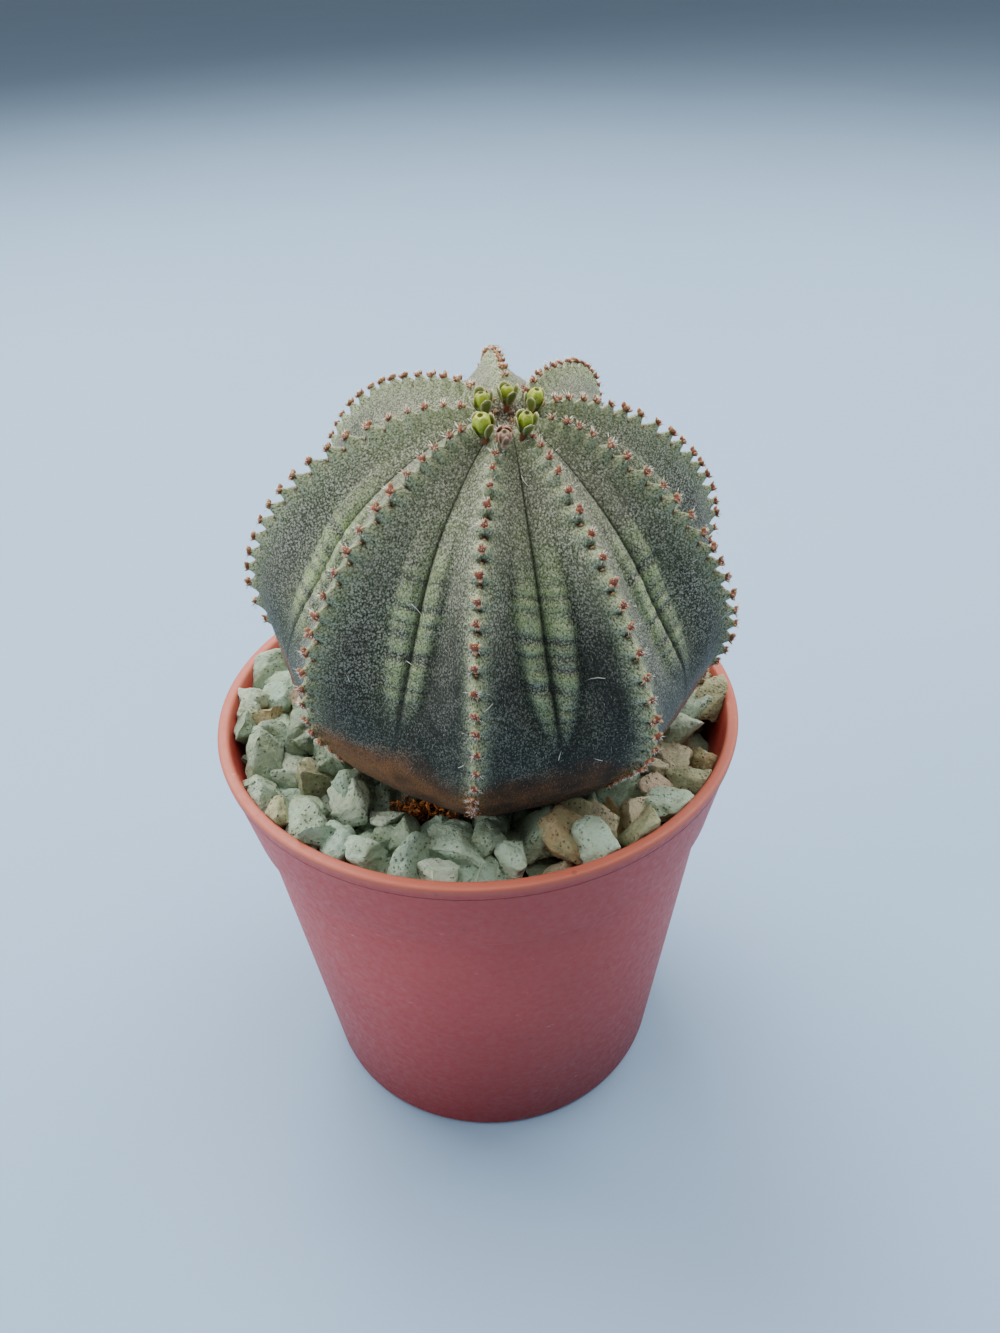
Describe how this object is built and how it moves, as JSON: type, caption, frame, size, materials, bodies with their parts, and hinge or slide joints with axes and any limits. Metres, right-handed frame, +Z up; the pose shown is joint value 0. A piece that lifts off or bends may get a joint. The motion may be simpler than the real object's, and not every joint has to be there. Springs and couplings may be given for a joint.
{
  "type": "baseball plant in a pot",
  "caption": "Round ribbed baseball plant (Euphorbia obesa) with toothed crests and a ring of young flowers, leaning in a round terracotta-coloured nursery pot topped with pale gravel.",
  "frame": {"origin": "centre of the pot's foot, on the surface that the pot stands on", "axes": "+Z up along the pot's axis; -Y is the front, toward which the plant leans; +X to the right seen from the front"},
  "size_m": [0.085, 0.085, 0.1331],
  "materials": {
    "terracotta_plastic": "matte moulded plastic",
    "potting_mix": "crumbly peat and bark",
    "gravel_stone": "dull, porous, angular",
    "plant_skin": "felted matte skin",
    "young_flower": "fresh, slightly waxy",
    "dried_flower": "dry and papery"
  },
  "bodies": {
    "root": {"pot": "terracotta_plastic", "soil": "potting_mix", "gravel": "gravel_stone", "plant_body": "plant_skin", "flower_1": "young_flower", "flower_2": "young_flower", "flower_3": "young_flower", "flower_4": "young_flower", "flower_5": "young_flower", "flower_6": "dried_flower"}
  },
  "joints": []
}
